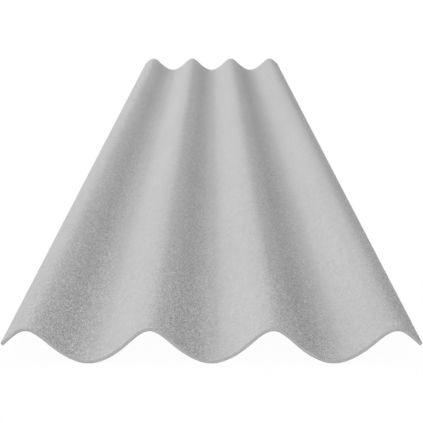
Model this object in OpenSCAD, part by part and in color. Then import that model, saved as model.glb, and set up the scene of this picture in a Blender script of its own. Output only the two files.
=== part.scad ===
// Corrugated fibre cement roof sheet: one board of even thickness, moulded into parallel waves
// that run the whole length, with its two side edges turned down and its two ends cut square.
//
// It lies as it would on a roof or on a level floor, on the undersides of its valleys.
// X runs across the waves, Y along them and Z up, with the origin under the middle of the sheet.
// All sizes are in millimetres.

/* [Sheet] */
// Length of the sheet, along the waves
sheet_length = 2440; // [600:10:3660]
// Thickness of the board, the same all over
sheet_thickness = 4; // [3:0.5:8]

/* [Waves] */
// Number of crests across the sheet
crest_count = 4; // [2:1:8]
// Distance from one crest to the next
wave_pitch = 148; // [125:1:220]
// Height of a wave, from the top of a valley to the top of a crest
wave_height = 42.5; // [20:0.5:60]
// Radius of the bend along the top of a crest, to the middle of the board's thickness
crest_radius = 16; // [10:0.5:30]
// Radius of the bend along the bottom of a valley, to the middle of the board's thickness
valley_radius = 35; // [20:0.5:60]

/* [Side edges] */
// How far each turned-down edge reaches out from the centre line of the outer crest
edge_reach = 31; // [20:1:62]

/* [Hidden] */
board_color = "#BDBDBB";

// Straight steps that half a wave is drawn with, from a crest line to a valley line
wave_steps = 28;

// Height of the middle of the board's thickness along a valley line
valley_height = sheet_thickness / 2;

// A wave is the sum of three cosines, so it bends smoothly from crest to valley, with no flat
// flank. Their shares follow from its height and from how sharply it bends at crest and valley.
half_pitch = wave_pitch / 2;
bend_scale = pow(2 * PI / wave_pitch, 2);
crest_bend = 1 / (crest_radius * bend_scale);
valley_bend = 1 / (valley_radius * bend_scale);
second_share = (crest_bend - valley_bend) / 8;
third_share = (crest_bend + valley_bend - wave_height) / 16;
first_share = wave_height / 2 - third_share;

// Height and downward slope at an angle of 0 on a crest line and 180 on a valley line
function wave_level(angle) =
    valley_height + wave_height / 2 - second_share
    + first_share * cos(angle) + second_share * cos(2 * angle) + third_share * cos(3 * angle);
function wave_slope(angle) =
    atan(2 * PI / wave_pitch
        * (first_share * sin(angle) + 2 * second_share * sin(2 * angle) + 3 * third_share * sin(3 * angle)));

// A station is a point on the middle of the board: [distance from the crest line, height, slope]
function wave_station(angle) = [half_pitch * angle / 180, wave_level(angle), wave_slope(angle)];

// Half a wave, from a crest line down to the valley line
half_wave = [for (i = [0:wave_steps]) wave_station(180 * i / wave_steps)];

// How far from the crest line the board's upper face is at a station
function upper_reach(station) = station[0] + sheet_thickness / 2 * sin(station[2]);

// The outer half wave stops at the edge, which is cut square to the board
kept_stations = [for (station = half_wave) if (upper_reach(station) < edge_reach) station];
last_kept = kept_stations[len(kept_stations) - 1];
first_cut = half_wave[len(kept_stations)];
cut_share = (edge_reach - upper_reach(last_kept)) / (upper_reach(first_cut) - upper_reach(last_kept));
edge_station = last_kept + (first_cut - last_kept) * cut_share;
edge_wave = concat(kept_stations, [edge_station]);

// The stations of half a wave that lies to one side of a crest: -1 is its left and 1 its right
function crest_x(crest) = (crest - (crest_count - 1) / 2) * wave_pitch;
function beside_crest(stations, crest, side) =
    [for (s = stations) [crest_x(crest) + side * s[0], s[1], side * s[2]]];
function reversed(list) = [for (i = [len(list) - 1:-1:0]) list[i]];
function without_first(list) = [for (i = [1:len(list) - 1]) list[i]];
function without_last(list) = [for (i = [0:len(list) - 2]) list[i]];

// The whole board from its left edge to its right edge, each crest and valley line named once
function left_of(crest) = crest == 0 ? edge_wave : without_last(half_wave);
function right_of(crest) = crest == crest_count - 1 ? edge_wave : half_wave;
board_line = [
    for (crest = [0:crest_count - 1])
        each concat(
            reversed(beside_crest(without_first(left_of(crest)), crest, -1)),
            beside_crest(right_of(crest), crest, 1)
        )
];

// The board's upper and lower faces lie half its thickness to each side of that line
function face_point(station, offset) =
    [station[0] + offset * sin(station[2]), station[1] + offset * cos(station[2])];
function face_line(offset) = [for (station = board_line) face_point(station, offset)];
section_outline = concat(face_line(sheet_thickness / 2), reversed(face_line(-sheet_thickness / 2)));

// The roof sheet, one solid
module roof_sheet() {
    color(board_color)
        rotate([90, 0, 0])
            linear_extrude(height = sheet_length, center = true)
                polygon(section_outline);
}

roof_sheet();
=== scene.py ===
"""A corrugated fibre cement roof sheet, lying flat on its valleys on a pale studio floor."""

import math
import random

import bmesh
import bpy
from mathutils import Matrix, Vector, noise


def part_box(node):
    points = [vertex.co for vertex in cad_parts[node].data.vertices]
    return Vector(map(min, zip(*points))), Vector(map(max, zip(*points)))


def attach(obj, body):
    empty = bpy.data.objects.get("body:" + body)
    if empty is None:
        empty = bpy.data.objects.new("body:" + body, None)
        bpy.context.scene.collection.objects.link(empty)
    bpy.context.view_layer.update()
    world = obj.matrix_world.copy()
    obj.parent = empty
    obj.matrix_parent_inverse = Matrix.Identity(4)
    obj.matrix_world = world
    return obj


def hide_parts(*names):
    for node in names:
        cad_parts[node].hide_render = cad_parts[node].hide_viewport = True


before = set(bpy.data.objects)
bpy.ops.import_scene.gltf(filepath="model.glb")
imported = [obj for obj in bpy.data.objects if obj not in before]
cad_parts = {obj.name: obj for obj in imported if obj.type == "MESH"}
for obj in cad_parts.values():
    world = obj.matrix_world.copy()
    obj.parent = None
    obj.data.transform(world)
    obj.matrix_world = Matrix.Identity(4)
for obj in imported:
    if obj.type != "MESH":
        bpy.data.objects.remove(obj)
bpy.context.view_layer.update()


# ---- The board: its waves ----------------------------------------------------------------------
# One board of cement and cellulose fibre, built up wet from thin films, laid over a waved former
# while it was soft and cured there. It is 4 mm thick all over and bends smoothly from tight crests
# to wider valleys, and both side edges turn down from an outer crest.
board_low, board_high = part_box("roof_sheet")
board_length = board_high.y - board_low.y
board_thickness = 0.004
wave_pitch = 0.148
crest_radius = 0.016  # to the middle of the board's thickness, as the valley's is
valley_radius = 0.035
wave_height = board_high.z - board_low.z - board_thickness

# a wave is the sum of three cosines, with the height and the two radii above
wave_rate = 2 * math.pi / wave_pitch
crest_bend = 1 / (crest_radius * wave_rate ** 2)
valley_bend = 1 / (valley_radius * wave_rate ** 2)
second_share = (crest_bend - valley_bend) / 8
third_share = (crest_bend + valley_bend - wave_height) / 16
first_share = wave_height / 2 - third_share

STEPS = 32  # from a crest to the next valley, which makes facets of 2 to 3 mm
SETTLING = 12  # passes in which the outermost station finds its place

board = bmesh.new()


def wave_at(x):
    """The height and the slope of the middle of the board's thickness, with a valley at x = 0."""
    angle = wave_rate * x + math.pi
    height = (board_thickness + wave_height) / 2 - second_share
    slope = 0
    for harmonic, share in ((1, first_share), (2, second_share), (3, third_share)):
        height += share * math.cos(harmonic * angle)
        slope -= wave_rate * harmonic * share * math.sin(harmonic * angle)
    return height, slope


def place_rim(under, over, x):
    """Sets the board's rim square across its thickness at a station x."""
    height, slope = wave_at(x)
    middle = Vector((x, board_low.y, height))
    out = Vector((-slope, 0, 1)).normalized() * board_thickness / 2
    under.co = middle - out
    over.co = middle + out


def carry_on(rim, x):
    """Carries the board on from its last rim to a station x."""
    carried = bmesh.ops.extrude_edge_only(board, edges=[rim])["geom"]
    ends = [part for part in carried if isinstance(part, bmesh.types.BMVert)]
    under, over = sorted(ends, key=lambda vert: vert.co.z)
    place_rim(under, over, x)
    return next(edge for edge in under.link_edges if edge.other_vert(under) == over)


# the right half of the section, from the middle valley out to the right edge
edge_x = board_high.x
for _ in range(SETTLING):
    edge_x = board_high.x + board_thickness / 2 * math.sin(math.atan(wave_at(edge_x)[1]))
low_vert = board.verts.new()
high_vert = board.verts.new()
place_rim(low_vert, high_vert, 0)
rim = board.edges.new((low_vert, high_vert))
step = wave_pitch / 2 / STEPS
for count in range(1, round(edge_x / step)):
    rim = carry_on(rim, count * step)
carry_on(rim, edge_x)

# the left half mirrors it, and the whole section runs the length of the board
bmesh.ops.mirror(
    board, geom=board.verts[:] + board.edges[:] + board.faces[:], axis="X", merge_dist=1e-6,
)
bmesh.ops.recalc_face_normals(board, faces=board.faces[:])
run = bmesh.ops.extrude_face_region(board, geom=board.faces[:])
far_end = [part for part in run["geom"] if isinstance(part, bmesh.types.BMVert)]
bmesh.ops.translate(board, verts=far_end, vec=(0, board_length, 0))
bmesh.ops.recalc_face_normals(board, faces=board.faces[:])

# the saw leaves crisp arrises, just blunted
ARRIS = 0.00025
SHARP = math.radians(60)
corners = [edge for edge in board.edges if edge.is_manifold and edge.calc_face_angle() > SHARP]
bmesh.ops.bevel(
    board, geom=corners, offset=ARRIS, offset_type="OFFSET", segments=2, profile=0.5,
    affect="EDGES", material=-1, clamp_overlap=True,
)

# rows across the board: close together near the two cut ends, where it chips, and wider between
CHIP_ROWS = (0.0015, 0.0035, 0.006, 0.009, 0.013, 0.018, 0.025, 0.034)
WIDER_ROWS = 170
for reach in CHIP_ROWS:
    for y in (board_low.y + reach, board_high.y - reach):
        bmesh.ops.bisect_plane(
            board, geom=board.verts[:] + board.edges[:] + board.faces[:],
            plane_co=(0, y, 0), plane_no=(0, 1, 0),
        )
long_edges = [edge for edge in board.edges if edge.calc_length() > board_length / 2]
bmesh.ops.subdivide_edges(board, edges=long_edges, cuts=WIDER_ROWS, use_grid_fill=True)

# ---- The board: its unevenness ------------------------------------------------------------------
# A cured board is never quite true. Its waves wander by a fraction of a millimetre along the
# length, its faces are a little hollow and full between the former's ribs, and the sawn edges
# have lost a few grains.
SEED = 7
SAG = 0.00022  # the longest waviness, up and down
FULLNESS = 0.00008  # the short one
SWAY = 0.00025  # from side to side, dying out over the last few millimetres of the board
SWAY_END = 0.004
NEWTON_STEPS = 6


def depth_in_board(x, z):
    """How deep a point lies in the board: 0 on the underside and 1 on the upper face."""
    station = x
    for _ in range(NEWTON_STEPS):
        height, slope = wave_at(station)
        station += (x - station + slope * (z - height)) / (1 + slope ** 2)
    height, slope = wave_at(station)
    return 0.5 + (z - height) * math.hypot(1, slope) / board_thickness


depth_layer = board.verts.layers.float.new("depth")
for vert in board.verts:
    vert[depth_layer] = depth_in_board(vert.co.x, vert.co.z)

random.seed(SEED)
for vert in board.verts:
    place = vert.co.copy()
    level = place.z / board_high.z
    slack = 4 * level * (1 - level)  # none at the top of a crest or on the floor
    sag = noise.noise(Vector((place.x / 0.13, place.y / 0.32, 0.0)))
    sway = noise.noise(Vector((3.7, place.y / 0.45, place.x / 0.30)))
    hollow = noise.noise(Vector((place.x / 0.045, place.y / 0.06, 9.1)))
    inside = min(1, (board_high.x - abs(place.x)) / SWAY_END)
    vert.co.z += slack * (SAG * sag + FULLNESS * hollow)
    vert.co.x += inside * SWAY * sway

NIBBLES = 90  # at each end
NIBBLE_REACH = (0.0014, 0.0036)
NIBBLE_DEPTH = (0.05, 0.2)  # as a share of its reach
RIM_BAND = 0.0125
TIP_BAND = 0.0003


def nibble(end_y, inward):
    """Takes grains off one sawn end of the board, at its upper and lower arrises."""
    rim_verts = [vert for vert in board.verts if abs(vert.co.y - end_y) < RIM_BAND]
    tips = [vert for vert in rim_verts if abs(vert.co.y - end_y) < TIP_BAND]
    for _ in range(NIBBLES):
        middle = random.choice(tips).co.copy()
        reach = random.uniform(*NIBBLE_REACH)
        depth = random.uniform(*NIBBLE_DEPTH) * reach
        for vert in rim_verts:
            near = 1 - (vert.co - middle).length / reach
            if near > 0:
                vert.co.y += inward * depth * near * (2 - near)


nibble(board_low.y, 1)
nibble(board_high.y, -1)

# ---- The board: its finish ----------------------------------------------------------------------
# Bare fibre cement, uncoated. The upper face is the smooth one, a pale neutral grey, finely grained
# on the left flank of each wave and sandier on the right one, whose speckle is partly painted shade
# of the grains under a low light. The underside keeps the print of the felt that carried the wet
# films, and the sawn edges show the films in layers.
UPPER_TONE = 0.497
UNDER_TONE = 0.44
CUT_TONE = 0.47


def new_finish(name, tone, roughness):
    """A dull grey material, with its nodes, its surface shader and its place in the board."""
    material = bpy.data.materials.new(name)
    material.use_nodes = True
    material.diffuse_color = (tone, tone, tone, 1)
    nodes = material.node_tree
    surface = nodes.nodes["Principled BSDF"]
    surface.inputs["Roughness"].default_value = roughness
    surface.inputs["Specular IOR Level"].default_value = 0.25
    place = nodes.nodes.new("ShaderNodeTexCoord").outputs["Object"]
    return material, nodes, surface, place


def feed(nodes, socket, value):
    """Gives a socket a number or another node's output."""
    if isinstance(value, bpy.types.NodeSocket):
        nodes.links.new(value, socket)
    else:
        socket.default_value = value


def grain(nodes, place, size, detail=1.0, drawn_out=1.0):
    """Noise with grains of that size in metres, from 0 to 1, drawn out along the board."""
    mapping = nodes.nodes.new("ShaderNodeMapping")
    texture = nodes.nodes.new("ShaderNodeTexNoise")
    mapping.inputs["Scale"].default_value = (1, 1 / drawn_out, 1)
    texture.inputs["Scale"].default_value = 1 / size
    texture.inputs["Detail"].default_value = detail
    feed(nodes, mapping.inputs["Vector"], place)
    feed(nodes, texture.inputs["Vector"], mapping.outputs["Vector"])
    return texture.outputs["Fac"]


def levels(nodes, value, low, high, to_low, to_high):
    """A value mapped from low..high to to_low..to_high, and held there."""
    ramp = nodes.nodes.new("ShaderNodeMapRange")
    for name, number in (("Value", value), ("From Min", low), ("From Max", high),
                         ("To Min", to_low), ("To Max", to_high)):
        feed(nodes, ramp.inputs[name], number)
    return ramp.outputs["Result"]


def sum_up(nodes, operation, first, second=0.0, third=0.0):
    """One step of arithmetic on values, such as MULTIPLY."""
    step = nodes.nodes.new("ShaderNodeMath")
    step.operation = operation
    for socket, value in zip(step.inputs, (first, second, third)):
        feed(nodes, socket, value)
    return step.outputs["Value"]


def paint_grey(nodes, surface, base, *shades):
    """Colours a surface with a neutral base tone times each of its shades."""
    tone = base
    for shade in shades:
        tone = sum_up(nodes, "MULTIPLY", tone, shade)
    grey = nodes.nodes.new("ShaderNodeCombineColor")
    for socket in grey.inputs[:3]:
        feed(nodes, socket, tone)
    feed(nodes, surface.inputs["Base Color"], grey.outputs["Color"])


def relief(nodes, surface, *layers):
    """Bump, from pairs of a height from 0 to 1 and its depth in metres, laid over each other."""
    normal = None
    for height, depth in layers:
        bump = nodes.nodes.new("ShaderNodeBump")
        bump.inputs["Distance"].default_value = depth
        feed(nodes, bump.inputs["Height"], height)
        if normal is not None:
            feed(nodes, bump.inputs["Normal"], normal)
        normal = bump.outputs["Normal"]
    feed(nodes, surface.inputs["Normal"], normal)


def sand(nodes, place, size, drawn_out=1.0):
    """Packed sand with grains of that size in metres: each grain's own shade, and its height."""
    ragged = nodes.nodes.new("ShaderNodeTexNoise")
    ragged.inputs["Scale"].default_value = 1.6 / size
    shifted = nodes.nodes.new("ShaderNodeVectorMath")
    shifted.operation = "MULTIPLY_ADD"
    shifted.inputs[1].default_value = (size, size, size)
    mapping = nodes.nodes.new("ShaderNodeMapping")
    mapping.inputs["Scale"].default_value = (1, 1 / drawn_out, 1)
    cells = nodes.nodes.new("ShaderNodeTexVoronoi")
    cells.inputs["Scale"].default_value = 1 / size
    shade = nodes.nodes.new("ShaderNodeSeparateColor")
    feed(nodes, ragged.inputs["Vector"], place)
    feed(nodes, shifted.inputs[0], ragged.outputs["Color"])
    feed(nodes, shifted.inputs[2], place)
    feed(nodes, mapping.inputs["Vector"], shifted.outputs["Vector"])
    feed(nodes, cells.inputs["Vector"], mapping.outputs["Vector"])
    feed(nodes, shade.inputs["Color"], cells.outputs["Color"])
    return shade.outputs["Red"], levels(nodes, cells.outputs["Distance"], 0, 0.8, 1, 0)


def smooth_face():
    """The upper face: sandy, its speckle partly painted grain shade, faintly clouded, with a few
    pinholes, and rubbed along its rim.
    """
    material, nodes, surface, place = new_finish("smooth_face", UPPER_TONE, 0.88)

    # how sandy it is, and how much painted grain shade its speckle carries: least on the middle of
    # each left flank, most on that of each right one, which faces away from the strong lamp
    apart = nodes.nodes.new("ShaderNodeSeparateXYZ")
    feed(nodes, apart.inputs["Vector"], place)
    crest_turn = sum_up(nodes, "MULTIPLY_ADD", apart.outputs["X"], wave_rate, math.pi)
    rightness = sum_up(nodes, "SINE", crest_turn)
    sand_and_grain_shade = levels(nodes, rightness, -0.45, 0.85, 0.28, 1.0)

    # the speckle is the sand's own tone, and its strong contrast on the right flanks is painted
    # shade of the grains
    speckles_and_grain_shade = []
    for size, drawn_out, contrast in ((0.0010, 2.3, 0.34), (0.0007, 2.1, 0.92)):
        shade, height = sand(nodes, place, size, drawn_out)
        strength = sum_up(nodes, "MULTIPLY", sand_and_grain_shade, contrast)
        apart_from_mean = sum_up(nodes, "SUBTRACT", shade, 0.5)
        speckles_and_grain_shade.append(sum_up(nodes, "MULTIPLY_ADD", apart_from_mean, strength, 1.0))
    clouds = levels(nodes, grain(nodes, place, 0.16, 3.0, 2.0), 0.3, 0.7, 0.98, 1.02)
    mottle = levels(nodes, grain(nodes, place, 0.010, 4.0, 2.0), 0.25, 0.75, 0.965, 1.035)
    pinholes = levels(nodes, grain(nodes, place, 0.0027, 0.0), 0.14, 0.2, 0.6, 1.0)

    # rubbed paler in a ragged band along the cut ends and the side edges
    to_end = sum_up(nodes, "SUBTRACT", board_high.y, sum_up(nodes, "ABSOLUTE", apart.outputs["Y"]))
    to_side = sum_up(nodes, "SUBTRACT", board_high.x, sum_up(nodes, "ABSOLUTE", apart.outputs["X"]))
    rim_gap = sum_up(nodes, "MINIMUM", to_end, to_side)
    ragged_gap = sum_up(nodes, "MULTIPLY_ADD", grain(nodes, place, 0.002, 2.0), 0.005, rim_gap)
    rubbed = levels(nodes, ragged_gap, 0.0025, 0.0055, 1.06, 1.0)

    paint_grey(nodes, surface, UPPER_TONE, clouds, mottle, pinholes, rubbed, *speckles_and_grain_shade)
    relief(
        nodes, surface,
        (sum_up(nodes, "MULTIPLY", height, sand_and_grain_shade), 0.0002),
        (grain(nodes, place, 0.004, 3.0, 1.5), 0.0005),
        (grain(nodes, place, 0.02, 2.0), 0.0005),
    )
    return material


def felt_face():
    """The underside: the crossed threads of the felt, worn and blurred, a little darker."""
    material, nodes, surface, place = new_finish("felt_face", UNDER_TONE, 0.92)
    threads = []
    for direction in ("X", "Y"):
        weave = nodes.nodes.new("ShaderNodeTexWave")
        weave.bands_direction = direction
        weave.inputs["Scale"].default_value = 170
        weave.inputs["Distortion"].default_value = 1.6
        weave.inputs["Detail Scale"].default_value = 1.2
        feed(nodes, weave.inputs["Vector"], place)
        threads.append(weave.outputs["Fac"])
    print_height = sum_up(nodes, "MAXIMUM", *threads)
    wear = levels(nodes, grain(nodes, place, 0.03, 3.0), 0.35, 0.65, 0.3, 1.0)
    faded = sum_up(nodes, "MULTIPLY", print_height, wear)
    clouds = levels(nodes, grain(nodes, place, 0.11, 4.0), 0.3, 0.7, 0.94, 1.05)
    damp = levels(nodes, grain(nodes, place, 0.028, 3.0), 0.3, 0.7, 0.96, 1.03)
    dimples = levels(nodes, faded, 0.0, 1.0, 0.93, 1.04)
    speckle = levels(nodes, grain(nodes, place, 0.0021, 2.0), 0.25, 0.75, 0.93, 1.07)
    paint_grey(nodes, surface, UNDER_TONE, clouds, damp, dimples, speckle)
    relief(nodes, surface, (faded, 0.0003), (grain(nodes, place, 0.004, 2.0), 0.0005))
    return material


def sawn_edge():
    """The cut ends and side edges: thin films in layers, dusty, darker towards both arrises and
    lighter in the core.
    """
    material, nodes, surface, place = new_finish("sawn_edge", CUT_TONE, 0.95)
    depth = nodes.nodes.new("ShaderNodeAttribute")
    depth.attribute_name = "depth"
    # darker towards the upper and lower arrises, lighter in the middle of the thickness
    from_core = sum_up(nodes, "ABSOLUTE", sum_up(nodes, "SUBTRACT", depth.outputs["Fac"], 0.5))
    darker_at_arrises = levels(nodes, from_core, 0.26, 0.46, 1.22, 0.96)
    # the films: noise that is fine through the board's thickness and drawn out along its edge
    apart = nodes.nodes.new("ShaderNodeSeparateXYZ")
    along = nodes.nodes.new("ShaderNodeCombineXYZ")
    feed(nodes, apart.inputs["Vector"], place)
    for axis in ("X", "Y"):
        feed(nodes, along.inputs[axis], sum_up(nodes, "MULTIPLY", apart.outputs[axis], 60))
    feed(nodes, along.inputs["Z"], sum_up(nodes, "MULTIPLY", depth.outputs["Fac"], 9))
    films = grain(nodes, along.outputs["Vector"], 1.0, 1.0)
    layers = levels(nodes, films, 0.3, 0.7, 0.93, 1.06)
    crumbs = levels(nodes, grain(nodes, place, 0.0012, 2.0), 0.25, 0.75, 0.88, 1.12)
    paint_grey(nodes, surface, CUT_TONE, darker_at_arrises, layers, crumbs)
    relief(nodes, surface, (films, 0.0002), (grain(nodes, place, 0.0012, 2.0), 0.0006))
    return material


# no flank is steeper than 44 degrees, so a face that looks further sideways is a sawn one
FLANK = 0.7
UPPER, UNDER, CUT = range(3)
board.normal_update()
for face in board.faces:
    face.smooth = True
    if face.normal.z > FLANK:
        face.material_index = UPPER
    elif face.normal.z < -FLANK:
        face.material_index = UNDER
    else:
        face.material_index = CUT
board_mesh = bpy.data.meshes.new("roof_sheet_board")
board.to_mesh(board_mesh)
board.free()
for finish in (smooth_face(), felt_face(), sawn_edge()):
    board_mesh.materials.append(finish)
board_piece = bpy.data.objects.new("roof_sheet_board", board_mesh)
bpy.context.scene.collection.objects.link(board_piece)
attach(board_piece, "root")
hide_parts("roof_sheet")

# ---- The studio: floor, light and camera ---------------------------------------------------------
# A sheet of white acrylic lit from below, in a dim room. Strip lamps run along both sides of the
# board: a strong one high on the left and two weak ones lower on the right. The camera stands
# before the near end, half a metre up, and looks down along the waves.
FLOOR_SIZE = 60
FLOOR_GLOW = 0.4  # what the floor lights the board with, while it looks white itself
ROOM_GLOW = 0.17
# the floor's painted contact shadow: how far it reaches, and how far the floor's glow dims under
# the board
CONTACT_REACH = 0.07
CONTACT_SHADE = 0.97
bpy.ops.mesh.primitive_plane_add(size=FLOOR_SIZE, location=(0, 0, 0))
floor = bpy.context.object
floor.name = "studio_floor"
floor_finish = bpy.data.materials.new("white_acrylic")
floor_finish.use_nodes = True
acrylic = floor_finish.node_tree.nodes["Principled BSDF"]
acrylic.inputs["Base Color"].default_value = (0, 0, 0, 1)
acrylic.inputs["Roughness"].default_value = 1.0
acrylic.inputs["Specular IOR Level"].default_value = 0.0
acrylic.inputs["Emission Color"].default_value = (1, 1, 1, 1)
# painted shadow: the floor's glow dims where ambient occlusion finds the board close above it
nearness = floor_finish.node_tree.nodes.new("ShaderNodeAmbientOcclusion")
nearness.samples = 16
nearness.inputs["Distance"].default_value = CONTACT_REACH
shade = levels(floor_finish.node_tree, nearness.outputs["AO"], 0, 1, CONTACT_SHADE, 1.0)
floor_sight = floor_finish.node_tree.nodes.new("ShaderNodeLightPath")
seen = floor_sight.outputs["Is Camera Ray"]
glow = levels(floor_finish.node_tree, seen, 0, 1, FLOOR_GLOW, shade)
floor_finish.node_tree.links.new(glow, acrylic.inputs["Emission Strength"])
floor.data.materials.append(floor_finish)

scene = bpy.context.scene
scene.view_settings.view_transform = "Standard"
scene.world = bpy.data.worlds.new("dim_room")
scene.world.use_nodes = True
room = scene.world.node_tree.nodes["Background"]
room.inputs["Color"].default_value = (1, 1, 1, 1)
room_sight = scene.world.node_tree.nodes.new("ShaderNodeLightPath")
pallor = levels(scene.world.node_tree, room_sight.outputs["Is Camera Ray"], 0, 1, ROOM_GLOW, 1.0)
scene.world.node_tree.links.new(pallor, room.inputs["Strength"])

STRIP_LENGTH = 12


def strip_lamp(name, distance, elevation, width, strength):
    """A strip lamp along the board, as bright on its far side as on its near side.

    The elevation is in degrees, from the right-hand floor line. The strength is how bright a
    white surface that faces the lamp looks.
    """
    data = bpy.data.lights.new(name, "AREA")
    data.shape = "RECTANGLE"
    data.size = width
    data.size_y = STRIP_LENGTH
    data.energy = strength * math.pi ** 2 * STRIP_LENGTH / 2
    data.use_nodes = True
    falloff = data.node_tree.nodes.new("ShaderNodeLightFalloff")
    falloff.inputs["Strength"].default_value = 1.0
    emission = data.node_tree.nodes["Emission"]
    data.node_tree.links.new(falloff.outputs["Linear"], emission.inputs["Strength"])
    lamp = bpy.data.objects.new(name, data)
    turn = math.radians(elevation)
    lamp.location = (distance * math.cos(turn), 0, distance * math.sin(turn))
    lamp.rotation_euler = (0, math.pi / 2 - turn, 0)
    scene.collection.objects.link(lamp)


strip_lamp("key_strip", distance=1.40, elevation=140.5, width=0.68, strength=0.95)
strip_lamp("fill_strip", distance=3.0, elevation=34, width=0.35, strength=0.43)
strip_lamp("low_strip", distance=2.7, elevation=9, width=0.44, strength=0.18)

LENS = 75.12
CAMERA_BACK = 0.9622  # before the near end
CAMERA_UP = 0.4914
LOOKS_DOWN = math.radians(17.28)
camera_data = bpy.data.cameras.new("camera")
camera_data.sensor_width = 36
camera_data.lens = LENS
camera = bpy.data.objects.new("camera", camera_data)
camera.location = (0, board_low.y - CAMERA_BACK, board_low.z + CAMERA_UP)
camera.rotation_euler = (math.pi / 2 - LOOKS_DOWN, 0, 0)
scene.collection.objects.link(camera)
scene.camera = camera
